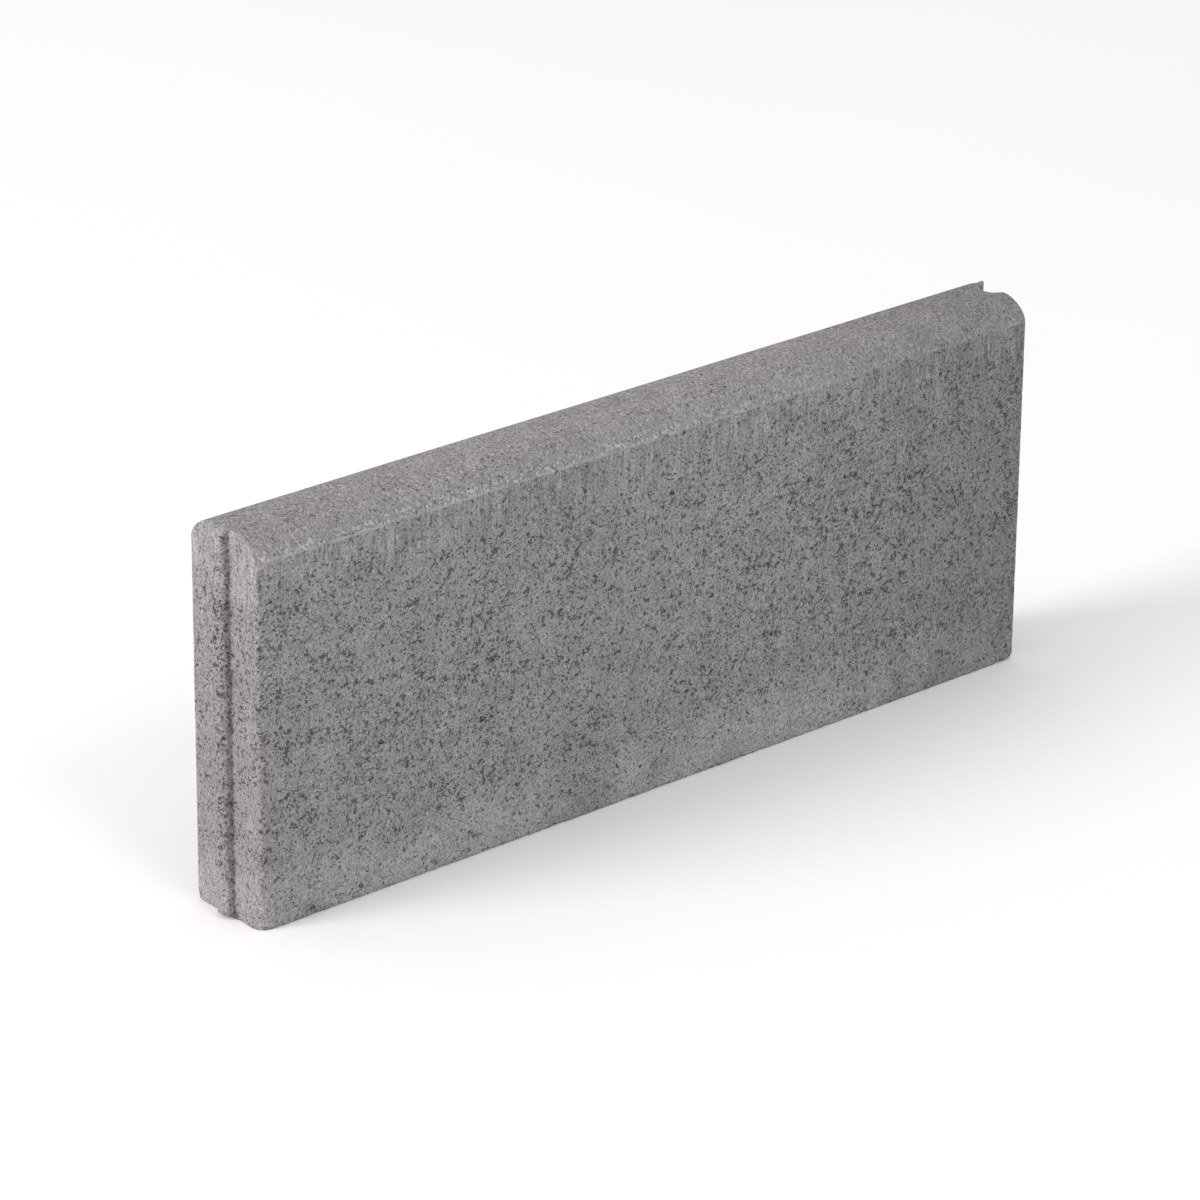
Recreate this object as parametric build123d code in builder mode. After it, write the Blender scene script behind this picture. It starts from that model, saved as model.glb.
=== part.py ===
from build123d import *

import os

# Precast concrete edging kerb with a rounded crown, keyed ends and two cast layers.
#
# The kerb stands on its bed face. The origin is the middle of the bed, halfway between the two end
# faces. +X runs along the kerb towards the grooved end, +Y runs through its thickness, +Z is up.
# The tongue at -X enters the groove at +X of the next kerb in the row.

# Overall sizes, mm
laying_length = 500.0    # end face to end face, without the tongue
thickness = 50.0
height = 200.0

# Keyed ends
tongue_width = 11.0
tongue_reach = 5.5       # how far the tongue stands out of its end face
joint_clearance = 1.0    # free gap all round a tongue in its groove

# Rounded crown, the same on both sides
strip_margin = 0.5       # level crown left beside the groove on each side
shoulder_drop = 11.5     # fall of each shoulder arc from the level strip to the arris on the side face

# Cast layers
facing_depth = 25.0      # facing mix, measured down from the level strip

# Vertical corners
corner_radius = 2.0

# Sizes that follow
groove_width = tongue_width + 2 * joint_clearance
groove_depth = tongue_reach + joint_clearance
crown_flat = groove_width + 2 * strip_margin
shoulder_run = (thickness - crown_flat) / 2
shoulder_radius = (shoulder_run**2 + shoulder_drop**2) / (2 * shoulder_drop)
layer_level = height - facing_depth
section_length = 2 * (laying_length + tongue_reach)


def plan_outline(level):
    """Outline of the kerb seen from above, on the horizontal plane at this level."""
    with BuildSketch(Plane.XY.offset(level)) as plan:
        Rectangle(laying_length, thickness)
        fillet(plan.vertices(), radius=corner_radius)
        with Locations((-laying_length / 2, 0)):
            Ellipse(tongue_reach, tongue_width / 2)
        with Locations((laying_length / 2, 0)):
            Ellipse(groove_depth, groove_width / 2, mode=Mode.SUBTRACT)
    return plan.sketch


# Backing mix: the plain walls, the lower tongue and the lower groove
with BuildPart() as core_concrete:
    add(plan_outline(0))
    extrude(amount=layer_level)
core_concrete.part.label = "core_concrete"

# Facing mix: the same outline carried up, trimmed to the crown's cross-section. Each shoulder arc runs on
# past the side face, so that the arris is where the two surfaces really cross.
with BuildPart() as facing_concrete:
    add(plan_outline(layer_level))
    extrude(amount=facing_depth)
    with BuildSketch(Plane.YZ) as crown_section:
        with BuildLine() as crown_line:
            level_strip = Line((-crown_flat / 2, height), (crown_flat / 2, height))
            near_shoulder = JernArc(level_strip @ 0, (-1, 0), shoulder_radius, 90)
            far_shoulder = JernArc(level_strip @ 1, (1, 0), shoulder_radius, -90)
            near_foot = ((near_shoulder @ 1).X, 0)
            far_foot = ((far_shoulder @ 1).X, 0)
            Polyline(near_shoulder @ 1, near_foot, far_foot, far_shoulder @ 1)
        make_face()
    extrude(amount=section_length / 2, both=True, mode=Mode.INTERSECT)
facing_concrete.part.label = "facing_concrete"

os.makedirs("parts", exist_ok=True)
for layer in (core_concrete, facing_concrete):
    export_step(layer.part, f"parts/{layer.part.label}.step")
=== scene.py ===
import logging
import math
from dataclasses import dataclass, field
from enum import Enum
from itertools import product
from typing import Union

import bmesh
import bpy
import numpy as np
from mathutils import Euler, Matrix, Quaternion, Vector


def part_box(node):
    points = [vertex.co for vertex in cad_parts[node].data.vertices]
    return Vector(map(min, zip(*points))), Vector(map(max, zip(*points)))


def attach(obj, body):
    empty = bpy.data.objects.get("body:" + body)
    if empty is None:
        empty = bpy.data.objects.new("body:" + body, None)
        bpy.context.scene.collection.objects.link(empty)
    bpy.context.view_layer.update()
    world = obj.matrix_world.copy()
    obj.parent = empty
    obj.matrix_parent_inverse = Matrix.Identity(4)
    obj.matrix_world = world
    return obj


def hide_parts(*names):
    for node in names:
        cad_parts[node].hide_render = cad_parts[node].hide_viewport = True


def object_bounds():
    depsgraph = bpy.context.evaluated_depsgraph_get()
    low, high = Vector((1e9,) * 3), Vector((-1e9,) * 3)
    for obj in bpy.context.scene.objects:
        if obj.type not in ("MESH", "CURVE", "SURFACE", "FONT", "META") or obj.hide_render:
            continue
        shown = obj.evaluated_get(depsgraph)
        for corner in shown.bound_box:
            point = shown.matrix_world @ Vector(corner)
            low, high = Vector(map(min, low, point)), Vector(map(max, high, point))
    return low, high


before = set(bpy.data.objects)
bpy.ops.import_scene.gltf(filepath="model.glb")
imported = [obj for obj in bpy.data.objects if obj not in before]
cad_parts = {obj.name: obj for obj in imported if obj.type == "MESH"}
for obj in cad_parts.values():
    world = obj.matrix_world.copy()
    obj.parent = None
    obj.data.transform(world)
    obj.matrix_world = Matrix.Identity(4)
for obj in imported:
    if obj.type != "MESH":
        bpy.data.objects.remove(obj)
cad_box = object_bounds()

# Looks of a precast concrete edging kerb. Lengths are in metres in the CAD part's own frame: +X
# runs to the grooved end, +Y through the thickness, +Z up from the bed. Both cast layers are
# pressed in one mould, so the blank is shaped and worn as one body first and then cut into its two
# layers where they meet.

log = logging.getLogger("kerb")

MM = 0.001
LATTICE_VALUES = 4096
LATTICE_SHIFT = 13
LATTICE_KEYS = np.array([73856093, 19349663, 83492791])
LATTICE_TURN = np.array(Euler((0.5, 0.9, 0.3)).to_matrix())
OCTAVE_SHIFT = 17.3

Colour = tuple[float, float, float, float]
Value = Union[bpy.types.NodeSocket, float, Colour]
Band = tuple[float, float]
Triple = tuple[float, float, float]


class MaskName(str, Enum):
    """Point attributes that the wear writes on the blank and the finishes read: cavity carries
    painted shade for the hollows, arris partly painted light along the crown's edges.
    """

    OPENNESS = "openness"
    CAVITY = "cavity"
    ARRIS = "arris"
    CROWN = "crown"


class Side(Enum):
    """Which part of the blank a cast layer keeps."""

    BELOW = "below"
    ABOVE = "above"


class MathStep(str, Enum):
    """Steps of a Math node."""

    ADD = "ADD"
    SUBTRACT = "SUBTRACT"
    MULTIPLY = "MULTIPLY"
    MULTIPLY_ADD = "MULTIPLY_ADD"
    MAXIMUM = "MAXIMUM"
    ABSOLUTE = "ABSOLUTE"


class Blend(str, Enum):
    """Ways in which one colour goes over another."""

    MIX = "MIX"
    MULTIPLY = "MULTIPLY"


def smooth_step(value: np.ndarray, low: float, high: float) -> np.ndarray:
    """Rises smoothly from 0 at low to 1 at high.

    Args:
        value: Numbers to map.
        low: Where the rise starts. It may lie above high, and then the result falls.
        high: Where the rise ends.

    Returns:
        The mapped numbers, from 0 to 1.
    """
    share = np.clip((value - low) / (high - low), 0.0, 1.0)
    return share * share * (3.0 - 2.0 * share)


@dataclass(frozen=True)
class RandomField:
    """Smooth random field in space that is the same on each run."""

    seed: int
    wavelength: float
    octaves: int = 1

    def sample(self, points: np.ndarray) -> np.ndarray:
        """Reads the field.

        Args:
            points: Places in space, one per row.

        Returns:
            One value per point, about -1 to 1.
        """
        table = np.random.default_rng(self.seed).uniform(-1.0, 1.0, LATTICE_VALUES)
        lattice = points @ LATTICE_TURN / self.wavelength
        total = np.zeros(len(points))
        power = 0.0
        for octave in range(self.octaves):
            strength = 0.5**octave
            shifted = lattice * 2.0**octave + OCTAVE_SHIFT * octave
            total += strength * self._layer(shifted, table)
            power += strength**2
        return total / math.sqrt(power)

    @staticmethod
    def _layer(lattice: np.ndarray, table: np.ndarray) -> np.ndarray:
        """Blends the values at the eight corners of each point's lattice cell."""
        cell = np.floor(lattice).astype(np.int64)
        part = lattice - cell
        part = part * part * (3.0 - 2.0 * part)
        value = np.zeros(len(lattice))
        for corner in product((0, 1), repeat=3):
            key = (cell + np.array(corner)) @ LATTICE_KEYS
            index = (key ^ (key >> LATTICE_SHIFT)) % LATTICE_VALUES
            weight = np.prod(np.where(np.array(corner), part, 1.0 - part), axis=1)
            value += weight * table[index]
        return value


@dataclass(frozen=True)
class KerbSizes:
    """Main lengths of the kerb, read from the CAD part."""

    end: float
    tongue_half_width: float
    half_thickness: float
    top: float
    layer_level: float
    arris_level: float

    @classmethod
    def from_frame(cls) -> "KerbSizes":
        """Reads the sizes from the CAD part's boxes and from its facing mesh."""
        _, high = cad_box
        facing_low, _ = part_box("facing_concrete")
        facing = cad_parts["facing_concrete"].data
        near = 0.01 * MM
        on_side = [v.co.z for v in facing.vertices if abs(v.co.y) > high.y - near]
        on_tongue = [abs(v.co.y) for v in facing.vertices if v.co.x < -high.x - near]
        return cls(high.x, max(on_tongue), high.y, high.z, facing_low.z, max(on_side))


@dataclass
class PressedBlank:
    """The kerb as it leaves the mould: one closed shell with fine, even faces."""

    sizes: KerbSizes
    voxel: float = 0.7 * MM
    merge_distance: float = 0.002 * MM

    def shell(self) -> bpy.types.Mesh:
        """Joins copies of both CAD layers into one shell without the faces where they meet.

        Returns:
            The closed shell.
        """
        shell = bmesh.new()
        for node in ("core_concrete", "facing_concrete"):
            shell.from_mesh(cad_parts[node].data)
        bmesh.ops.remove_doubles(shell, verts=shell.verts, dist=self.merge_distance)
        inner = [f for f in shell.faces if all(self._on_seam(v) for v in f.verts)]
        bmesh.ops.delete(shell, geom=inner, context="FACES")
        bmesh.ops.recalc_face_normals(shell, faces=shell.faces)
        mesh = bpy.data.meshes.new("pressed_shell")
        shell.to_mesh(mesh)
        shell.free()
        return mesh

    def _on_seam(self, vert: bmesh.types.BMVert) -> bool:
        """Says whether a point lies on the plane between the layers."""
        return abs(vert.co.z - self.sizes.layer_level) < self.merge_distance

    def mesh(self) -> bpy.types.Mesh:
        """Covers the shell with even faces of the voxel's size.

        Returns:
            The blank's mesh, ready for its wear.
        """
        return baked(self.shell(), "REMESH", mode="VOXEL", voxel_size=self.voxel, adaptivity=0.0)


def baked(mesh: bpy.types.Mesh, kind: str, **settings: object) -> bpy.types.Mesh:
    """Applies one modifier to a mesh.

    Args:
        mesh: The mesh to change. It is removed.
        kind: Type of the modifier.
        settings: Values for the modifier.

    Returns:
        The changed mesh.
    """
    carrier = bpy.data.objects.new("carrier", mesh)
    bpy.context.scene.collection.objects.link(carrier)
    modifier = carrier.modifiers.new("step", kind)
    for name, value in settings.items():
        setattr(modifier, name, value)
    graph = bpy.context.evaluated_depsgraph_get()
    result = bpy.data.meshes.new_from_object(carrier.evaluated_get(graph))
    bpy.data.objects.remove(carrier)
    bpy.data.meshes.remove(mesh)
    return result


@dataclass
class Skin:
    """Surface points of the blank, with what the wear has to know at each of them."""

    mesh: bpy.types.Mesh
    points: np.ndarray = field(init=False)
    normals: np.ndarray = field(init=False)
    sharpness: np.ndarray = field(init=False)
    edge_turn: float = 0.3
    spread_rounds: int = 2

    def __post_init__(self) -> None:
        """Reads the mesh."""
        count = len(self.mesh.vertices) * 3
        points = np.empty(count, np.float32)
        self.mesh.vertices.foreach_get("co", points)
        self.points = points.reshape(-1, 3).astype(float)
        normals = np.empty(count, np.float32)
        self.mesh.vertex_normals.foreach_get("vector", normals)
        self.normals = normals.reshape(-1, 3).astype(float)
        self.sharpness = self._sharpness()

    def _sharpness(self) -> np.ndarray:
        """Finds how near each point is to an edge, from 0 on a flat face to 1 on the edge."""
        ends = np.empty(len(self.mesh.edges) * 2, np.int32)
        self.mesh.edges.foreach_get("vertices", ends)
        first, second = ends.reshape(-1, 2).T
        count = len(self.points)
        turn = np.linalg.norm(self.normals[first] - self.normals[second], axis=1)
        sharp = np.zeros(count)
        bent = turn > self.edge_turn
        sharp[first[bent]] = 1.0
        sharp[second[bent]] = 1.0
        links = np.bincount(ends, minlength=count)
        for _ in range(self.spread_rounds):
            near = np.bincount(first, sharp[second], count)
            near = near + np.bincount(second, sharp[first], count)
            sharp = np.maximum(sharp, near / links)
        return sharp

    def push(self, depth: np.ndarray) -> None:
        """Moves each point into the body by its depth."""
        self.points -= self.normals * depth[:, None]

    def write(self) -> None:
        """Puts the points back into the mesh."""
        self.mesh.vertices.foreach_set("co", self.points.astype(np.float32).ravel())
        self.mesh.update()

    def mark(self, name: MaskName, values: np.ndarray) -> None:
        """Stores one value per point as an attribute of the mesh."""
        attribute = self.mesh.attributes.new(name.value, "FLOAT", "POINT")
        attribute.data.foreach_set("value", values.astype(np.float32))


@dataclass(frozen=True)
class Knock:
    """One knocked or bulging place: every point near the centre moves along one line."""

    centre: Triple
    reach: float
    move: Triple

    def strike(self, skin: Skin) -> None:
        """Moves the points, most at the centre and not at all at the reach."""
        distance = np.linalg.norm(skin.points - np.array(self.centre), axis=1)
        share = smooth_step(distance, self.reach, 0.0)
        skin.points += share[:, None] * np.array(self.move)


@dataclass(frozen=True)
class OpenTexture:
    """How open the texture is between the sand grains, from 0 for closed to about 1."""

    wander: RandomField = RandomField(3, 26 * MM, 2)
    wander_reach: float = 7 * MM
    top_band: Band = (160 * MM, 184 * MM)
    foot_band: Band = (34 * MM, 14 * MM)
    patches: RandomField = RandomField(5, 22 * MM, 2)
    patch_rise: Band = (-0.5, 0.7)
    wall_level: float = 0.76
    patch_gain: float = 0.24
    top_loss: float = 0.6
    foot_loss: float = 0.3
    end_loss: float = 0.4
    tongue_gain: float = 0.12
    bed_loss: float = 0.4
    crown_level: float = 0.13

    def share(
        self, skin: Skin, crown: np.ndarray, bed: np.ndarray, tongue: np.ndarray
    ) -> np.ndarray:
        """Says how open each point is: most at mid height, less at the foot, least on the crown.

        Args:
            skin: The blank's surface.
            crown: Share of crown at each point.
            bed: Share of bed at each point.
            tongue: Share of tongue at each point.

        Returns:
            Openness of each point.
        """
        height = skin.points[:, 2] + self.wander_reach * self.wander.sample(skin.points)
        top = smooth_step(height, *self.top_band)
        foot = smooth_step(height, *self.foot_band)
        patches = smooth_step(self.patches.sample(skin.points), *self.patch_rise)
        wall = (self.wall_level + self.patch_gain * patches) * (1.0 - self.top_loss * top)
        wall *= 1.0 - self.foot_loss * foot
        wall *= 1.0 - self.end_loss * np.abs(skin.normals[:, 0]) * (1.0 - tongue)
        wall += self.tongue_gain * tongue
        return wall * (1.0 - crown) * (1.0 - self.bed_loss * bed) + self.crown_level * crown


@dataclass(frozen=True)
class Lumps:
    """Lumps that the coarse sand makes, and the mould's slight waves."""

    height: float = 0.13 * MM
    waves: RandomField = RandomField(11, 75 * MM)
    coarse: RandomField = RandomField(12, 6.5 * MM, 2)
    fine: RandomField = RandomField(13, 2.6 * MM, 2)
    wave_share: float = 0.9
    fine_share: float = 0.7

    def rise(self, skin: Skin, openness: np.ndarray) -> np.ndarray:
        """Height of the lumps and waves at each point."""
        waves = self.wave_share * self.waves.sample(skin.points)
        coarse = self.coarse.sample(skin.points)
        fine = self.fine_share * self.fine.sample(skin.points)
        return self.height * (openness * (coarse + fine) + waves)


@dataclass(frozen=True)
class PitSize:
    """Pits of one size, which open where the pattern lies below a level."""

    pattern: RandomField
    level: float
    crowding_gain: float
    rim: Band
    open_gain: float = 0.26

    def share(self, skin: Skin, crowding: np.ndarray, openness: np.ndarray) -> np.ndarray:
        """Share of pit at each point."""
        limit = self.level + self.crowding_gain * crowding + self.open_gain * openness
        return smooth_step(self.pattern.sample(skin.points) - limit, *self.rim)


@dataclass(frozen=True)
class Pits:
    """Small irregular holes that crowd together in places, and a few larger ones."""

    depth: float = 0.9 * MM
    crowding: RandomField = RandomField(21, 15 * MM, 2)
    small: PitSize = PitSize(RandomField(22, 2.7 * MM, 2), -0.78, 0.16, (0.1, -0.25))
    large: PitSize = PitSize(RandomField(23, 4.6 * MM, 3), -1.05, 0.1, (0.06, -0.16))
    small_share: float = 0.4
    large_share: float = 1.3
    large_rise: Band = (0.15, 0.6)
    deepest: float = 1.6

    def share(self, skin: Skin, openness: np.ndarray) -> np.ndarray:
        """Share of the pits' depth at each point."""
        crowding = self.crowding.sample(skin.points)
        small = self.small_share * self.small.share(skin, crowding, openness)
        large = self.large_share * self.large.share(skin, crowding, openness)
        both = openness * small + large * smooth_step(openness, *self.large_rise)
        return np.clip(both, 0.0, self.deepest)


@dataclass(frozen=True)
class Chips:
    """Crumbled bits along the arrises, most of all round the bed."""

    depth: float = 0.7 * MM
    foot_band: Band = (5 * MM, 1 * MM)
    crumbs: RandomField = RandomField(31, 4.2 * MM, 2)
    crumb_rise: Band = (-0.1, 0.8)
    edge_share: float = 0.55
    foot_gain: float = 0.75
    crown_loss: float = 0.7

    def share(self, skin: Skin, crown: np.ndarray) -> np.ndarray:
        """Share of the chips' depth at each point."""
        foot = smooth_step(skin.points[:, 2], *self.foot_band)
        crumbs = smooth_step(self.crumbs.sample(skin.points), *self.crumb_rise)
        along = self.edge_share + self.foot_gain * foot
        return skin.sharpness * crumbs * along * (1.0 - self.crown_loss * crown)


@dataclass(frozen=True)
class Burr:
    """The thin ridge that the press plate leaves along both crown edges."""

    height: float = 0.45 * MM
    half_width: float = 0.8 * MM
    side_reach: float = 1.6 * MM
    breaks: RandomField = RandomField(41, 9 * MM, 2)
    whole_share: float = 0.55
    broken_share: float = 0.45
    fade_run: Band = (-60 * MM, 200 * MM)
    fade: float = 0.75

    def share(self, skin: Skin, sizes: KerbSizes) -> np.ndarray:
        """Share of the burr's height at each point."""
        rise = (skin.points[:, 2] - sizes.arris_level) / self.half_width
        inner = sizes.half_thickness - self.side_reach
        side = smooth_step(np.abs(skin.points[:, 1]), inner, sizes.half_thickness)
        broken = self.whole_share + self.broken_share * self.breaks.sample(skin.points)
        fading = 1.0 - self.fade * smooth_step(skin.points[:, 0], *self.fade_run)
        return np.exp(-rise * rise) * side * np.clip(broken, 0.0, 1.0) * fading


@dataclass(frozen=True)
class TongueEnd:
    """Wear and painted shade at the tongue end: its rounded foot, crumbled tongue and painted
    shade in its inner corners.
    """

    sizes: KerbSizes
    open_edge: Band = (0.4 * MM, -1.2 * MM)
    loss_edge: Band = (0.6 * MM, -0.8 * MM)
    arris_radius: float = 2 * MM
    foot_radius: float = 6.5 * MM
    foot_height: float = 24 * MM
    loss_height: float = 7 * MM
    loss: float = 2.4 * MM
    loss_spread: float = 1.1 * MM
    loss_pattern: RandomField = RandomField(51, 3 * MM, 2)
    # Painted shade in the tongue's two inner corners, where shade falls: its reach along and
    # across, inset, strength and patchiness.
    shade_along: float = 1.3 * MM
    shade_across: float = 0.8 * MM
    shade_inset: float = 0.5 * MM
    painted_shade: float = 0.6
    shade_level: float = 0.75
    shade_spread: float = 0.35
    shade_pattern: RandomField = RandomField(61, 7 * MM, 2)

    def past(self, skin: Skin, edge: Band) -> np.ndarray:
        """Share of each point that lies past the end plane, on the tongue."""
        start, stop = (step - self.sizes.end for step in edge)
        return smooth_step(skin.points[:, 0], start, stop)

    def root_shade(self, skin: Skin) -> np.ndarray:
        """Share of painted shade in the two inner corners where the tongue leaves its end face."""
        off_end = np.abs(skin.points[:, 0] + self.sizes.end) / self.shade_along
        off_root = np.abs(skin.points[:, 1]) - self.sizes.tongue_half_width + self.shade_inset
        off_root = off_root / self.shade_across
        patchy = self.shade_level + self.shade_spread * self.shade_pattern.sample(skin.points)
        return self.painted_shade * np.exp(-off_end**2 - off_root**2) * patchy

    def round_foot(self, skin: Skin) -> None:
        """Rounds the front arris at the tongue end, more and more towards the bed."""
        foot = smooth_step(skin.points[:, 2], self.foot_height, 0.0)
        radius = self.arris_radius + self.foot_radius * foot
        along = skin.points[:, 0] + self.sizes.end - radius
        across = skin.points[:, 1] + self.sizes.half_thickness - radius
        reach = np.hypot(along, across)
        outside = (along < 0) & (across < 0) & (reach > radius)
        shrink = np.where(outside, radius / np.maximum(reach, radius), 1.0)
        skin.points[:, 0] += along * (shrink - 1.0)
        skin.points[:, 1] += across * (shrink - 1.0)

    def crumble_tongue(self, skin: Skin) -> None:
        """Lifts the broken lower end of the tongue off the bed."""
        loss = self.loss + self.loss_spread * self.loss_pattern.sample(skin.points)
        low = np.clip(1.0 - skin.points[:, 2] / self.loss_height, 0.0, 1.0)
        skin.points[:, 2] += loss * low * self.past(skin, self.loss_edge)


@dataclass
class MouldWear:
    """Everything that pressing, stripping and handling leave on the blank's skin."""

    sizes: KerbSizes
    texture: OpenTexture = OpenTexture()
    lumps: Lumps = Lumps()
    pits: Pits = Pits()
    chips: Chips = Chips()
    burr: Burr = Burr()
    crown_turn: Band = (0.04, 0.26)
    bed_turn: Band = (-0.3, -0.7)
    softening_rounds: int = 4
    softening: float = 0.5
    soft_edge: float = 0.2
    corner_along: float = 1.2 * MM
    corner_across: float = 7 * MM
    # Share of painted shade in the chips.
    chip_shade: float = 0.35
    # Painted light: a band on the crown beside both side faces, which lifts the crown where its
    # shading falls off towards the arrises.
    rim_light_start: float = 11 * MM
    rim_light_share: float = 0.4
    edge_share: float = 0.25
    target_triangles: int = 208_000

    def apply(self, mesh: bpy.types.Mesh) -> bpy.types.Mesh:
        """Wears the blank and thins its faces where they are flat.

        Args:
            mesh: The blank.

        Returns:
            The worn blank, with its masks as attributes.
        """
        self._soften(mesh)
        skin = Skin(mesh)
        tongue_end = TongueEnd(self.sizes)
        crown = smooth_step(skin.normals[:, 2], *self.crown_turn)
        bed = smooth_step(skin.normals[:, 2], *self.bed_turn)
        tongue = tongue_end.past(skin, tongue_end.open_edge)
        openness = self.texture.share(skin, crown, bed, tongue)
        cavity = self.pits.share(skin, openness)
        chips = self.chips.share(skin, crown)
        burr = self.burr.share(skin, self.sizes)
        depth = cavity * self.pits.depth + chips * self.chips.depth - burr * self.burr.height
        skin.push(depth - self.lumps.rise(skin, openness))
        tongue_end.round_foot(skin)
        self._knocks(skin)
        tongue_end.crumble_tongue(skin)
        skin.points[:, 2] = np.maximum(skin.points[:, 2], 0.0)
        skin.write()
        # Painted shade in the hollows: the pits, the chips and the tongue's inner corners are
        # darkened in the colour where shade falls.
        painted_shade = cavity + self.chip_shade * chips + tongue_end.root_shade(skin)
        # The arris mask is the paler burr and worn edges, plus that painted light band on the
        # crown.
        rim = smooth_step(np.abs(skin.points[:, 1]), self.rim_light_start, self.sizes.half_thickness)
        arris = burr + self.rim_light_share * (crown * rim) + self.edge_share * skin.sharpness
        skin.mark(MaskName.OPENNESS, openness)
        skin.mark(MaskName.CAVITY, np.clip(painted_shade, 0.0, 1.0))
        skin.mark(MaskName.ARRIS, np.clip(arris, 0.0, 1.0))
        skin.mark(MaskName.CROWN, crown)
        triangles = sum(len(p.vertices) - 2 for p in mesh.polygons)
        log.info("blank has %d triangles before thinning", triangles)
        ratio = self.target_triangles / triangles
        return baked(mesh, "DECIMATE", ratio=ratio, use_collapse_triangulate=True)

    def _soften(self, mesh: bpy.types.Mesh) -> None:
        """Rounds the sharp edges a little, except the inner corners of the tongue."""
        skin = Skin(mesh)
        near_end = np.abs(skin.points[:, 0] + self.sizes.end) < self.corner_along
        near_tongue = np.abs(skin.points[:, 1]) < self.corner_across
        under_crown = skin.points[:, 2] < self.sizes.arris_level
        inner_corner = near_end & near_tongue & under_crown
        chosen = np.flatnonzero((skin.sharpness > self.soft_edge) & ~inner_corner)
        body = bmesh.new()
        body.from_mesh(mesh)
        body.verts.ensure_lookup_table()
        verts = [body.verts[i] for i in chosen.tolist()]
        axes = {"use_axis_x": True, "use_axis_y": True, "use_axis_z": True}
        for _ in range(self.softening_rounds):
            bmesh.ops.smooth_vert(body, verts=verts, factor=self.softening, **axes)
        body.to_mesh(mesh)
        body.free()

    def _knocks(self, skin: Skin) -> None:
        """Breaks the corners, opens two single pits and raises the burr beside the groove."""
        end = self.sizes.end
        half = self.sizes.half_thickness
        arris = self.sizes.arris_level
        worn_corner = Knock((-end, -half, arris), 10 * MM, (0.6 * MM, 0.4 * MM, -3.4 * MM))
        pit_centre = (-end + 9 * MM, -half, arris - 2 * MM)
        corner_pit = Knock(pit_centre, 2.2 * MM, (0.0, 1.2 * MM, 0.0))
        back_foot = Knock((-end, half, 0.0), 6 * MM, (0.4 * MM, -0.3 * MM, 0.5 * MM))
        far_foot = Knock((end, -half, 0.0), 4 * MM, (-0.6 * MM, 0.4 * MM, 0.8 * MM))
        burr_centre = (end, 7.5 * MM, self.sizes.top)
        groove_burr = Knock(burr_centre, 4.5 * MM, (0.0, 0.0, 1.9 * MM))
        land_pit = Knock((-end, -13 * MM, 100 * MM), 2.4 * MM, (1.3 * MM, 0.0, 0.0))
        for knock in (worn_corner, corner_pit, back_foot, far_foot, groove_burr, land_pit):
            knock.strike(skin)


@dataclass(frozen=True)
class Pattern:
    """Soft random pattern of a finish: size of its blobs, detail, roughness and bend."""

    size: float
    detail: float = 2.0
    roughness: float = 0.5
    bend: float = 0.0


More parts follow.
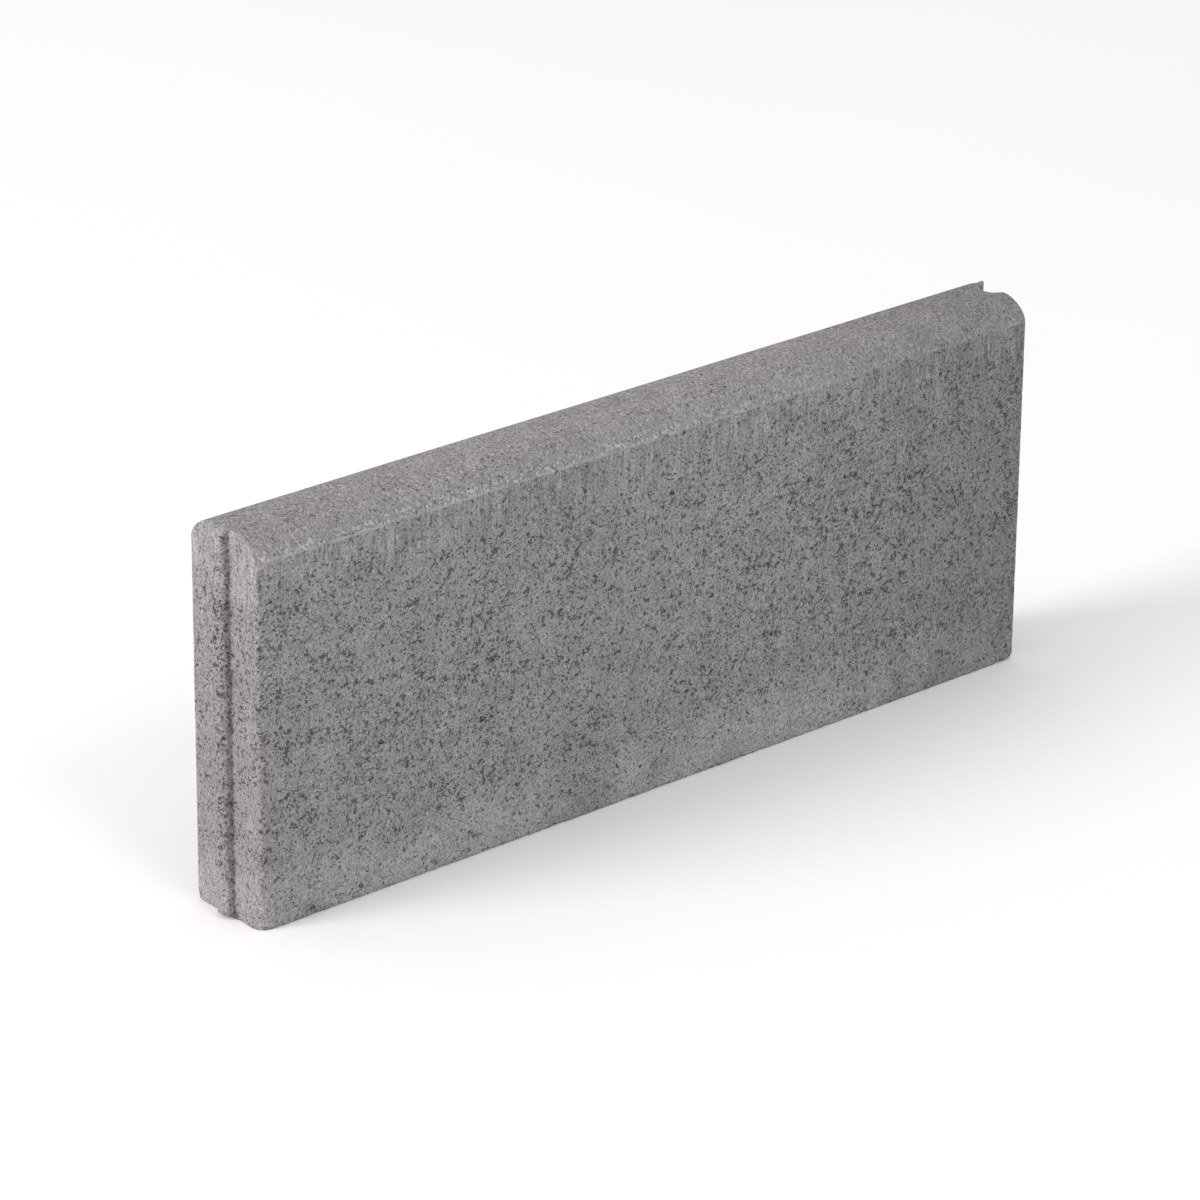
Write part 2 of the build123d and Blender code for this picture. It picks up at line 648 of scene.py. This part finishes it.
class NodeBench:
    """Adds nodes and links to one node tree."""

    COLUMN = 190

    def __init__(self, tree: bpy.types.NodeTree) -> None:
        """Starts on an empty tree."""
        self.tree = tree

    def node(self, kind: str, **settings: object) -> bpy.types.Node:
        """Adds one node to the right of the last.

        Args:
            kind: Class name of the node.
            settings: Values for the node's own properties.

        Returns:
            The new node.
        """
        node = self.tree.nodes.new(kind)
        node.location = (self.COLUMN * len(self.tree.nodes), 0)
        for name, value in settings.items():
            setattr(node, name, value)
        return node

    def feed(self, socket: bpy.types.NodeSocket, value: Value) -> None:
        """Links a socket to another, or sets its value."""
        if isinstance(value, bpy.types.NodeSocket):
            self.tree.links.new(value, socket)
        else:
            socket.default_value = value

    def noise(self, place: Value, pattern: Pattern) -> Value:
        """Reads a soft random pattern, from 0 to 1."""
        node = self.node("ShaderNodeTexNoise")
        self.feed(node.inputs["Vector"], place)
        node.inputs["Scale"].default_value = 1.0 / pattern.size
        node.inputs["Detail"].default_value = pattern.detail
        node.inputs["Roughness"].default_value = pattern.roughness
        node.inputs["Distortion"].default_value = pattern.bend
        return node.outputs["Fac"]

    def grains(self, place: Value, size: float) -> bpy.types.NodeOutputs:
        """Random cells of about this size."""
        node = self.node("ShaderNodeTexVoronoi")
        self.feed(node.inputs["Vector"], place)
        node.inputs["Scale"].default_value = 1.0 / size
        return node.outputs

    def squeezed(self, place: Value, scale: Triple) -> Value:
        """Coordinates scaled along each axis."""
        node = self.node("ShaderNodeMapping")
        self.feed(node.inputs["Vector"], place)
        node.inputs["Scale"].default_value = scale
        return node.outputs["Vector"]

    def axes(self, place: Value) -> bpy.types.NodeOutputs:
        """Coordinates as separate X, Y and Z."""
        node = self.node("ShaderNodeSeparateXYZ")
        self.feed(node.inputs["Vector"], place)
        return node.outputs

    def math(
        self, step: MathStep, first: Value, second: Value = 0.0, third: Value = 0.0
    ) -> Value:
        """One Math node."""
        node = self.node("ShaderNodeMath", operation=step.value)
        for socket, value in zip(node.inputs, (first, second, third)):
            self.feed(socket, value)
        return node.outputs["Value"]

    def plus(self, first: Value, second: Value) -> Value:
        """Adds two values."""
        return self.math(MathStep.ADD, first, second)

    def minus(self, first: Value, second: Value) -> Value:
        """Takes the second value from the first."""
        return self.math(MathStep.SUBTRACT, first, second)

    def times(self, first: Value, second: Value) -> Value:
        """Multiplies two values."""
        return self.math(MathStep.MULTIPLY, first, second)

    def scaled(self, value: Value, factor: Value, start: Value) -> Value:
        """Multiplies a value by a factor and adds it to a start."""
        return self.math(MathStep.MULTIPLY_ADD, value, factor, start)

    def span(
        self, value: Value, low: Value, high: Value, to_low: float = 0.0, to_high: float = 1.0
    ) -> Value:
        """Maps low to to_low and high to to_high, with a smooth rise between and level ends."""
        node = self.node("ShaderNodeMapRange", interpolation_type="SMOOTHSTEP")
        names = ("Value", "From Min", "From Max", "To Min", "To Max")
        for name, entry in zip(names, (value, low, high, to_low, to_high)):
            self.feed(node.inputs[name], entry)
        return node.outputs["Result"]

    def blend(self, share: Value, under: Value, over: Value, way: Blend = Blend.MIX) -> Value:
        """Puts one colour over another by a share."""
        node = self.node("ShaderNodeMix", data_type="RGBA", blend_type=way.value)
        for index, value in zip((0, 6, 7), (share, under, over)):
            self.feed(node.inputs[index], value)
        return node.outputs[2]

    def mask(self, name: MaskName) -> Value:
        """Reads one of the wear's masks."""
        return self.node("ShaderNodeAttribute", attribute_name=name.value).outputs["Fac"]

    def place(self) -> Value:
        """Coordinates on the piece, in its own frame."""
        return self.node("ShaderNodeTexCoord").outputs["Object"]


class SurfaceEffect:
    """A node group that is built once and placed in each material with its own values."""

    name = "effect"
    inputs: dict[str, float] = {}
    outputs: tuple[str, ...] = ()

    def group(self) -> bpy.types.NodeTree:
        """Gives the group, which is built the first time."""
        known = bpy.data.node_groups.get(self.name)
        if known:
            return known
        tree = bpy.data.node_groups.new(self.name, "ShaderNodeTree")
        sockets = tree.interface
        sockets.new_socket("Coordinates", in_out="INPUT", socket_type="NodeSocketVector")
        for name, value in self.inputs.items():
            socket = sockets.new_socket(name, in_out="INPUT", socket_type="NodeSocketFloat")
            socket.default_value = value
        for name in self.outputs:
            sockets.new_socket(name, in_out="OUTPUT", socket_type="NodeSocketFloat")
        bench = NodeBench(tree)
        entry = bench.node("NodeGroupInput")
        results = self.build(bench, entry.outputs)
        leave = bench.node("NodeGroupOutput")
        for name, value in zip(self.outputs, results):
            bench.feed(leave.inputs[name], value)
        return tree

    def build(self, bench: NodeBench, entry: bpy.types.NodeOutputs) -> tuple[Value, ...]:
        """Makes the group's nodes and gives its results in the order of its outputs."""
        raise NotImplementedError

    def add(self, bench: NodeBench, place: Value, **values: Value) -> bpy.types.NodeOutputs:
        """Puts the group into a material.

        Args:
            bench: Where the material's nodes are made.
            place: Where on the kerb the pattern is read.
            values: Values or links for the group's other inputs, with underscores for spaces.

        Returns:
            The group's outputs.
        """
        node = bench.node("ShaderNodeGroup", node_tree=self.group())
        bench.feed(node.inputs["Coordinates"], place)
        for name, value in values.items():
            bench.feed(node.inputs[name.replace("_", " ")], value)
        return node.outputs


class SandGrain(SurfaceEffect):
    """Fine sand in cement paste: soft speckle, small domes and single pale grains."""

    name = "Sand grain"
    inputs = {"Pale Grains": 0.3}
    outputs = ("Tone", "Height")
    soft = Pattern(2.2 * MM, 3.0, 0.7)
    soft_share = 0.38
    sharp = Pattern(1.05 * MM, 1.0)
    sharp_share = 0.62
    grain_size = 1.3 * MM
    pale_rise = (0.62, 0.8)
    dome_fall = -0.35

    def build(self, bench: NodeBench, entry: bpy.types.NodeOutputs) -> tuple[Value, ...]:
        """Mixes two speckles with single grains."""
        place = entry["Coordinates"]
        soft = bench.noise(place, self.soft)
        sharp = bench.times(bench.noise(place, self.sharp), self.sharp_share)
        speckle = bench.scaled(soft, self.soft_share, sharp)
        cells = bench.grains(place, self.grain_size)
        pale = bench.span(cells["Color"], *self.pale_rise)
        tone = bench.plus(speckle, bench.times(pale, entry["Pale Grains"]))
        return tone, bench.scaled(cells["Distance"], self.dome_fall, speckle)


class OpenPores(SurfaceEffect):
    """Open pores between the grains: small irregular holes that crowd in places; the finish paints
    shade into them.
    """

    name = "Open pores"
    inputs = {"Openness": 1.0}
    outputs = ("Pore", "Height")
    crowding = Pattern(8 * MM, 3.0, 0.6)
    crowding_gain = 0.14
    open_gain = 0.07
    large, large_level = Pattern(5.0 * MM, 3.0, 0.65), 0.205
    middle, middle_level = Pattern(2.6 * MM, 3.0, 0.65), 0.272
    small, small_level = Pattern(1.4 * MM, 2.0, 0.6), 0.26
    rim = (0.02, -0.12)

    def build(self, bench: NodeBench, entry: bpy.types.NodeOutputs) -> tuple[Value, ...]:
        """Cuts three sizes of hole out of noise, more of them where the texture is open."""
        place = entry["Coordinates"]
        crowding = bench.noise(place, self.crowding)
        gain = bench.times(entry["Openness"], self.open_gain)
        lift = bench.scaled(crowding, self.crowding_gain, gain)
        large = self._holes(bench, bench.noise(place, self.large), lift, self.large_level)
        middle = self._holes(bench, bench.noise(place, self.middle), lift, self.middle_level)
        small = self._holes(bench, bench.noise(place, self.small), lift, self.small_level)
        pore_shade = bench.math(MathStep.MAXIMUM, bench.math(MathStep.MAXIMUM, large, middle), small)
        return pore_shade, bench.times(pore_shade, -1.0)

    def _holes(self, bench: NodeBench, ground: Value, lift: Value, level: float) -> Value:
        """Opens holes with sloping rims where the ground lies below the level."""
        return bench.span(bench.minus(ground, bench.plus(lift, level)), *self.rim)


class MouldStreaks(SurfaceEffect):
    """Fine upright streaks where the pressed kerb slid out of its mould."""

    name = "Mould streaks"
    outputs = ("Tone", "Height")
    fine = Pattern(1.3 * MM)
    fine_squeeze = (1.0, 1.0, 0.09)
    fine_share = 0.65
    wide = Pattern(4.5 * MM, 1.0)
    wide_squeeze = (1.0, 1.0, 0.2)
    wide_share = 0.35

    def build(self, bench: NodeBench, entry: bpy.types.NodeOutputs) -> tuple[Value, ...]:
        """Stretches noise upwards."""
        place = entry["Coordinates"]
        fine = bench.noise(bench.squeezed(place, self.fine_squeeze), self.fine)
        wide = bench.noise(bench.squeezed(place, self.wide_squeeze), self.wide)
        tone = bench.scaled(wide, self.wide_share, bench.times(fine, self.fine_share))
        return tone, fine


class PressBands(SurfaceEffect):
    """What changes along and up the kerb: mixes, dusty foot, mottling, crown ridge and painted
    shade towards the grooved end.
    """

    name = "Press bands"
    inputs = {
        "Facing Start": 0.15,
        "Facing End": 0.19,
        "Arris Level": 0.1885,
        "Half Thickness": 0.025,
    }
    outputs = ("Facing", "Foot", "Mottle", "Over Arris", "Ridge", "Far End Shade", "Scuff")
    wander = Pattern(34 * MM)
    wander_reach = 22 * MM
    foot_patches = Pattern(42 * MM, 2.0, 0.55, 0.8)
    patch_rise = (0.3, 0.6)
    foot_band = (46 * MM, 14 * MM)
    mottling = Pattern(17 * MM, 3.0, 0.6)
    raggedness = Pattern(4 * MM, 2.0, 0.6)
    ragged_reach = 1.6 * MM
    over_band = (0.5 * MM, 1.1 * MM)
    ridge_start = (0.1 * MM, 0.5 * MM)
    ridge_end = (1.7 * MM, 1.0 * MM)
    ridge_inset = (1.6 * MM, 0.7 * MM)
    gaps = Pattern(14 * MM, 2.0, 0.6)
    gap_rise = (0.36, 0.56)
    worn_run = (160 * MM, -60 * MM, 0.15, 1.0)
    # Painted shade: the kerb darkens over this run towards the grooved end, where the light falls
    # off.
    far_end_shade_run = (70 * MM, 250 * MM)
    scuff_band = (7 * MM, 1.2 * MM)

    def build(self, bench: NodeBench, entry: bpy.types.NodeOutputs) -> tuple[Value, ...]:
        """Reads the bands from a height and an arris that soft noise bends."""
        place = entry["Coordinates"]
        axes = bench.axes(place)
        height = bench.scaled(bench.noise(place, self.wander), self.wander_reach, axes["Z"])
        height = bench.minus(height, 0.5 * self.wander_reach)
        facing = bench.span(height, entry["Facing Start"], entry["Facing End"])
        patch = bench.span(bench.noise(place, self.foot_patches), *self.patch_rise)
        foot = bench.times(bench.span(height, *self.foot_band), patch)
        mottle = bench.noise(place, self.mottling)
        ragged = bench.noise(place, self.raggedness)
        ragged = bench.scaled(ragged, self.ragged_reach, axes["Z"])
        ragged = bench.minus(ragged, entry["Arris Level"])
        over = bench.span(ragged, *self.over_band)
        worn = bench.span(axes["X"], *self.worn_run)
        ridge = self._ridge(bench, ragged, axes["Y"], entry["Half Thickness"])
        kept = bench.span(bench.noise(place, self.gaps), *self.gap_rise)
        ridge = bench.times(bench.times(ridge, kept), worn)
        far_end_shade = bench.span(axes["X"], *self.far_end_shade_run)
        scuff = bench.times(bench.times(bench.span(ragged, *self.scuff_band), over), worn)
        return facing, foot, mottle, over, ridge, far_end_shade, scuff

    def _ridge(self, bench: NodeBench, ragged: Value, across: Value, half: Value) -> Value:
        """Draws the ridge just over the arris, on the side face only."""
        start = bench.span(ragged, *self.ridge_start)
        line = bench.times(start, bench.span(ragged, *self.ridge_end))
        inset = bench.minus(half, bench.math(MathStep.ABSOLUTE, across))
        return bench.times(line, bench.span(inset, *self.ridge_inset))


class TongueRoot(SurfaceEffect):
    """Painted shade: a dark ragged line along both inner corners of the tongue, where shade falls.
    """

    name = "Tongue root"
    inputs = {"Half Width": 0.0055, "End Plane": 0.25}
    outputs = ("Line", "Outside")
    raggedness = Pattern(3.2 * MM, 3.0, 0.65)
    ragged_reach = 5.0 * MM
    flank_band = (0.9 * MM, 1.9 * MM)
    land_band = (0.4 * MM, 0.0)
    outside_band = (1.4 * MM, 0.3 * MM)

    def build(self, bench: NodeBench, entry: bpy.types.NodeOutputs) -> tuple[Value, ...]:
        """Measures the way to the corner, roughens it and keeps it to the outside of the end."""
        place = entry["Coordinates"]
        axes = bench.axes(place)
        aside = bench.math(MathStep.ABSOLUTE, axes["Y"])
        past = bench.minus(aside, entry["Half Width"])
        ragged = bench.scaled(bench.noise(place, self.raggedness), self.ragged_reach, past)
        near = bench.span(ragged, *self.flank_band)
        near = bench.times(near, bench.span(past, *self.land_band))
        inwards = bench.plus(axes["X"], entry["End Plane"])
        outside = bench.span(inwards, *self.outside_band)
        return bench.times(near, outside), outside


@dataclass(frozen=True)
class MixTones:
    """Colours of the two mixes, of what lies in and on them, and of the painted shade in their
    holes and corners.
    """

    backing: Colour = (0.264, 0.261, 0.253, 1.0)
    facing: Colour = (0.261, 0.257, 0.249, 1.0)
    crown: Colour = (0.256, 0.251, 0.245, 1.0)
    # Dark tone of the painted shade in pores, pits, chips and the tongue's corners.
    pore_shade: Colour = (0.040, 0.038, 0.036, 1.0)
    # Pale dust on the foot, the tongue top and worn arrises; it is also the painted light along
    # the crown's edges.
    dust_and_painted_light: Colour = (0.335, 0.330, 0.322, 1.0)
    ridge: Colour = (0.430, 0.420, 0.405, 1.0)


@dataclass(frozen=True)
class LaidEffects:
    """What the effects give one material, ready to be mixed."""

    grain: bpy.types.NodeOutputs
    pores: bpy.types.NodeOutputs
    streaks: bpy.types.NodeOutputs
    bands: bpy.types.NodeOutputs
    root: bpy.types.NodeOutputs
    streak_share: Value
    crown: Value


@dataclass(frozen=True)
class ConcreteFinish:
    """Bare pressed concrete: dull, grainy and full of open pores."""

    name: str
    sizes: KerbSizes
    tones: MixTones = MixTones()
    grain_contrast: float = 2.4
    grain_middle: float = 0.5
    pale_grains: float = 0.05
    crown_grains: float = 0.1
    scuffed_grains: float = 0.3
    mottle_contrast: float = 0.5
    streak_contrast: float = 1.7
    streak_rise: Band = (0.05, 0.55)
    # Strengths of the painted shade in the pores, the cavity mask and the tongue root line.
    pore_shade_share: float = 0.74
    cavity_shade_share: float = 0.5
    root_shade_share: float = 0.36
    end_top_share: float = 0.6
    arris_share: float = 0.5
    ridge_share: float = 0.8
    foot_share: float = 0.9
    foot_smoothness: float = 0.35
    # Strength of the painted shade towards the grooved end.
    far_end_shade_share: float = 0.19
    specular_level: float = 0.25
    roughness: tuple[float, float, float, float] = (0.2, 0.9, 0.84, 0.98)
    bump_height: float = 1.5 * MM
    grain_relief: float = 0.55
    streak_relief: float = 0.3

    def material(self) -> bpy.types.Material:
        """Builds the material.

        Returns:
            The finished material.
        """
        material = bpy.data.materials.new(self.name)
        material.use_nodes = True
        material.node_tree.nodes.clear()
        bench = NodeBench(material.node_tree)
        effects = self._lay_effects(bench)
        shader = bench.node("ShaderNodeBsdfPrincipled")
        shader.inputs["Specular IOR Level"].default_value = self.specular_level
        roughness = bench.span(effects.grain["Tone"], *self.roughness)
        bench.feed(shader.inputs["Base Color"], self._colour(bench, effects))
        bench.feed(shader.inputs["Roughness"], roughness)
        bench.feed(shader.inputs["Normal"], self._normal(bench, effects))
        output = bench.node("ShaderNodeOutputMaterial")
        bench.feed(output.inputs["Surface"], shader.outputs["BSDF"])
        return material

    def _lay_effects(self, bench: NodeBench) -> LaidEffects:
        """Places the effects and sets how much of each shows where."""
        place = bench.place()
        sizes = self.sizes
        levels = {"Arris_Level": sizes.arris_level, "Half_Thickness": sizes.half_thickness}
        bands = PressBands().add(bench, place, **levels)
        crown = bench.times(bench.mask(MaskName.CROWN), bands["Over Arris"])
        pale = bench.scaled(crown, self.crown_grains, self.pale_grains)
        scuff = bench.times(bands["Scuff"], crown)
        pale = bench.scaled(scuff, self.scuffed_grains, pale)
        grain = SandGrain().add(bench, place, Pale_Grains=pale)
        rough_foot = bench.scaled(bands["Foot"], -self.foot_smoothness, 1.0)
        openness = bench.times(bench.mask(MaskName.OPENNESS), rough_foot)
        pores = OpenPores().add(bench, place, Openness=openness)
        streaks = MouldStreaks().add(bench, place)
        drawn = bench.span(bands["Facing"], *self.streak_rise)
        streak_share = bench.times(drawn, bench.span(crown, 1.0, 0.0))
        corner = {"Half_Width": sizes.tongue_half_width, "End_Plane": sizes.end}
        root = TongueRoot().add(bench, place, **corner)
        return LaidEffects(grain, pores, streaks, bands, root, streak_share, crown)

    def _colour(self, bench: NodeBench, effects: LaidEffects) -> Value:
        """Lays the mixes, speckle, streaks and dust over each other, with painted light on the
        crown's edges and painted shade in the holes, in the tongue's corners and towards the
        grooved end.

        Args:
            bench: Where the nodes are made.
            effects: What the effects give this material.

        Returns:
            The base colour.
        """
        tones, bands, root = self.tones, effects.bands, effects.root

        def cover(under: Value, mask: Value, share: float, over: Colour) -> Value:
            """Puts a tone over a colour by a share of a mask."""
            return bench.blend(bench.times(mask, share), under, over)

        def centred(tone: Value, contrast: float) -> Value:
            """Scales a tone about its middle, so that it lightens as much as it darkens."""
            return bench.scaled(tone, contrast, -0.5 * contrast)

        colour = bench.blend(bands["Facing"], tones.backing, tones.facing)
        colour = bench.blend(effects.crown, colour, tones.crown)
        end_top = bench.times(root["Outside"], bands["Facing"])
        colour = cover(colour, end_top, self.end_top_share, tones.dust_and_painted_light)
        colour = cover(colour, bands["Foot"], self.foot_share, tones.dust_and_painted_light)
        darkest = 1.0 - self.grain_middle * self.grain_contrast
        speckle = bench.scaled(effects.grain["Tone"], self.grain_contrast, darkest)
        light = bench.plus(speckle, centred(bands["Mottle"], self.mottle_contrast))
        streaks = centred(effects.streaks["Tone"], self.streak_contrast)
        light = bench.scaled(streaks, effects.streak_share, light)
        colour = bench.blend(1.0, colour, light, Blend.MULTIPLY)
        # Painted shade towards the grooved end, where the light falls off.
        far_end_shade = bench.scaled(bands["Far End Shade"], -self.far_end_shade_share, 1.0)
        colour = bench.blend(1.0, colour, far_end_shade, Blend.MULTIPLY)
        # Paler arrises: the burr and worn edges, plus painted light on the crown's edges.
        colour = cover(colour, bench.mask(MaskName.ARRIS), self.arris_share, tones.dust_and_painted_light)
        colour = cover(colour, bands["Ridge"], self.ridge_share, tones.ridge)
        # Painted shade in the open pores and, from the cavity mask, in the pits, chips and tongue
        # corners.
        colour = cover(colour, effects.pores["Pore"], self.pore_shade_share, tones.pore_shade)
        colour = cover(colour, bench.mask(MaskName.CAVITY), self.cavity_shade_share, tones.pore_shade)
        # Painted shade: a dark ragged line in the tongue's inner corners.
        return cover(colour, root["Line"], self.root_shade_share, tones.pore_shade)

    def _normal(self, bench: NodeBench, effects: LaidEffects) -> Value:
        """Adds up the heights of grain, pores and streaks and turns them into a normal."""
        grain = bench.times(effects.grain["Height"], self.grain_relief)
        ribs = bench.times(effects.streak_share, self.streak_relief)
        height = bench.plus(effects.pores["Height"], grain)
        height = bench.scaled(effects.streaks["Height"], ribs, height)
        bump = bench.node("ShaderNodeBump")
        bump.inputs["Distance"].default_value = self.bump_height
        bench.feed(bump.inputs["Height"], height)
        return bump.outputs["Normal"]


@dataclass
class CastLayer:
    """One of the two layers of concrete, cut out of the worn blank."""

    piece_name: str
    node: str
    slot: str
    side: Side
    finish: ConcreteFinish
    sharp_turn: float = math.radians(62)
    snap: float = 0.001 * MM

    def build(self, blank: bpy.types.Mesh, level: float) -> bpy.types.Object:
        """Cuts the layer, closes it and dresses it.

        Args:
            blank: The worn blank.
            level: Height of the plane between the layers.

        Returns:
            The finished piece.
        """
        body = bmesh.new()
        body.from_mesh(blank)
        geometry = body.verts[:] + body.edges[:] + body.faces[:]
        cut = bmesh.ops.bisect_plane(
            body,
            geom=geometry,
            dist=self.snap,
            plane_co=(0.0, 0.0, level),
            plane_no=(0.0, 0.0, 1.0),
            clear_outer=self.side is Side.BELOW,
            clear_inner=self.side is Side.ABOVE,
        )
        rim = [e for e in cut["geom_cut"] if isinstance(e, bmesh.types.BMEdge)]
        cap = bmesh.ops.holes_fill(body, edges=rim, sides=0)
        bmesh.ops.triangulate(body, faces=cap["faces"])
        bmesh.ops.dissolve_degenerate(body, edges=body.edges, dist=self.snap)
        bmesh.ops.triangulate(body, faces=[f for f in body.faces if len(f.verts) > 3])
        bmesh.ops.recalc_face_normals(body, faces=body.faces)
        mesh = bpy.data.meshes.new(self.piece_name)
        body.to_mesh(mesh)
        body.free()
        mesh.shade_smooth()
        mesh.set_sharp_from_angle(angle=self.sharp_turn)
        return self.dress(mesh)

    def dress(self, mesh: bpy.types.Mesh) -> bpy.types.Object:
        """Gives the layer its finish and its place in the frame."""
        piece = bpy.data.objects.new(self.piece_name, mesh)
        bpy.context.scene.collection.objects.link(piece)
        mesh.materials.clear()
        mesh.materials.append(self.finish.material())
        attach(piece, "root")
        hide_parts(self.node)
        log.info("%s: %d triangles", piece.name, len(mesh.polygons))
        return piece


@dataclass(frozen=True)
class SoftBox:
    """A large soft lamp that faces the kerb."""

    name: str
    position: Triple
    aim: Triple
    size: float
    power: float
    tone: Triple = (1.0, 1.0, 1.0)

    def place(self) -> bpy.types.Object:
        """Hangs the lamp."""
        lamp = bpy.data.lights.new(self.name, "AREA")
        lamp.shape = "DISK"
        lamp.size = self.size
        lamp.energy = self.power
        lamp.color = self.tone
        holder = bpy.data.objects.new(self.name, lamp)
        holder.location = self.position
        ahead = Vector(self.aim) - Vector(self.position)
        holder.rotation_euler = ahead.to_track_quat("-Z", "Y").to_euler()
        bpy.context.scene.collection.objects.link(holder)
        log.info("%s hung", self.name)
        return holder


@dataclass(frozen=True)
class PaleFloor:
    """A plain pale floor just under the bed."""

    half_side: float = 12.0
    drop: float = 0.03 * MM
    tone: Colour = (0.95, 0.95, 0.95, 1.0)
    clouds: Pattern = Pattern(0.4)
    mottling: float = 0.02
    roughness: float = 0.95
    specular_level: float = 0.1

    def place(self) -> bpy.types.Object:
        """Lays the floor."""
        plane = bmesh.new()
        bmesh.ops.create_grid(plane, x_segments=1, y_segments=1, size=self.half_side)
        bmesh.ops.translate(plane, verts=plane.verts, vec=(0.0, 0.0, -self.drop))
        mesh = bpy.data.meshes.new("pale_floor")
        plane.to_mesh(mesh)
        plane.free()
        floor = bpy.data.objects.new("pale_floor", mesh)
        bpy.context.scene.collection.objects.link(floor)
        mesh.materials.append(self.material())
        log.info("pale_floor laid")
        return floor

    def material(self) -> bpy.types.Material:
        """Makes the floor's smooth, nearly even paint."""
        material = bpy.data.materials.new("floor_paint")
        material.use_nodes = True
        material.node_tree.nodes.clear()
        bench = NodeBench(material.node_tree)
        cloud = bench.noise(bench.place(), self.clouds)
        light = bench.scaled(cloud, self.mottling, 1.0 - 0.5 * self.mottling)
        paint = bench.blend(1.0, self.tone, light, Blend.MULTIPLY)
        shader = bench.node("ShaderNodeBsdfPrincipled")
        bench.feed(shader.inputs["Base Color"], paint)
        shader.inputs["Roughness"].default_value = self.roughness
        shader.inputs["Specular IOR Level"].default_value = self.specular_level
        output = bench.node("ShaderNodeOutputMaterial")
        bench.feed(output.inputs["Surface"], shader.outputs["BSDF"])
        return material


@dataclass(frozen=True)
class Studio:
    """Even white room light, one soft key from the tongue end and a weak fill from the front."""

    room_light: float = 0.74
    room_tone: Colour = (1.0, 0.995, 0.985, 1.0)
    key: SoftBox = SoftBox(
        name="key_light",
        position=(-4.4, 1.0, 2.8),
        aim=(0.0, 0.0, 0.1),
        size=2.6,
        power=165.0,
        tone=(1.0, 0.93, 0.965),
    )
    fill: SoftBox = SoftBox(
        name="fill_light",
        position=(-0.6, -3.3, 3.5),
        aim=(0.0, 0.0, 0.1),
        size=1.2,
        power=31.0,
    )

    def light(self) -> None:
        """Fills the room with light and hangs the lamps."""
        world = bpy.data.worlds.new("room_light")
        world.use_nodes = True
        background = world.node_tree.nodes["Background"]
        background.inputs["Color"].default_value = self.room_tone
        background.inputs["Strength"].default_value = self.room_light
        bpy.context.scene.world = world
        bpy.context.scene.view_settings.view_transform = "Standard"
        self.key.place()
        self.fill.place()


@dataclass(frozen=True)
class ViewPoint:
    """The camera, on the left of the kerb's front face and above it."""

    aim: Triple = (-11.35 * MM, 7.03 * MM, 94.84 * MM)
    distance: float = 2.7943
    azimuth: float = math.radians(41.354)
    elevation: float = math.radians(23.301)
    roll: float = math.radians(0.551)
    focal_length: float = 169.56
    sensor: float = 36.0

    def place(self) -> bpy.types.Object:
        """Sets the camera up and gives it to the scene."""
        ahead = Vector((
            math.sin(self.azimuth) * math.cos(self.elevation),
            math.cos(self.azimuth) * math.cos(self.elevation),
            -math.sin(self.elevation),
        ))
        lens = bpy.data.cameras.new("camera")
        lens.lens = self.focal_length
        lens.sensor_width = self.sensor
        camera = bpy.data.objects.new("camera", lens)
        turn = ahead.to_track_quat("-Z", "Y") @ Quaternion((0.0, 0.0, 1.0), self.roll)
        camera.rotation_euler = turn.to_euler()
        camera.location = Vector(self.aim) - ahead * self.distance
        bpy.context.scene.collection.objects.link(camera)
        bpy.context.scene.camera = camera
        return camera


def main() -> None:
    """Builds the two layers, the floor, the light and the camera."""
    logging.basicConfig(level=logging.INFO, format="%(message)s")
    sizes = KerbSizes.from_frame()
    blank = MouldWear(sizes).apply(PressedBlank(sizes).mesh())
    backing = ConcreteFinish("backing_concrete", sizes)
    facing = ConcreteFinish("facing_concrete", sizes)
    layers = (
        CastLayer("backing_layer", "core_concrete", "core_mix", Side.BELOW, backing),
        CastLayer("facing_layer", "facing_concrete", "facing_mix", Side.ABOVE, facing),
    )
    for layer in layers:
        layer.build(blank, sizes.layer_level)
    bpy.data.meshes.remove(blank)
    PaleFloor().place()
    Studio().light()
    ViewPoint().place()


if __name__ == "__main__":
    main()
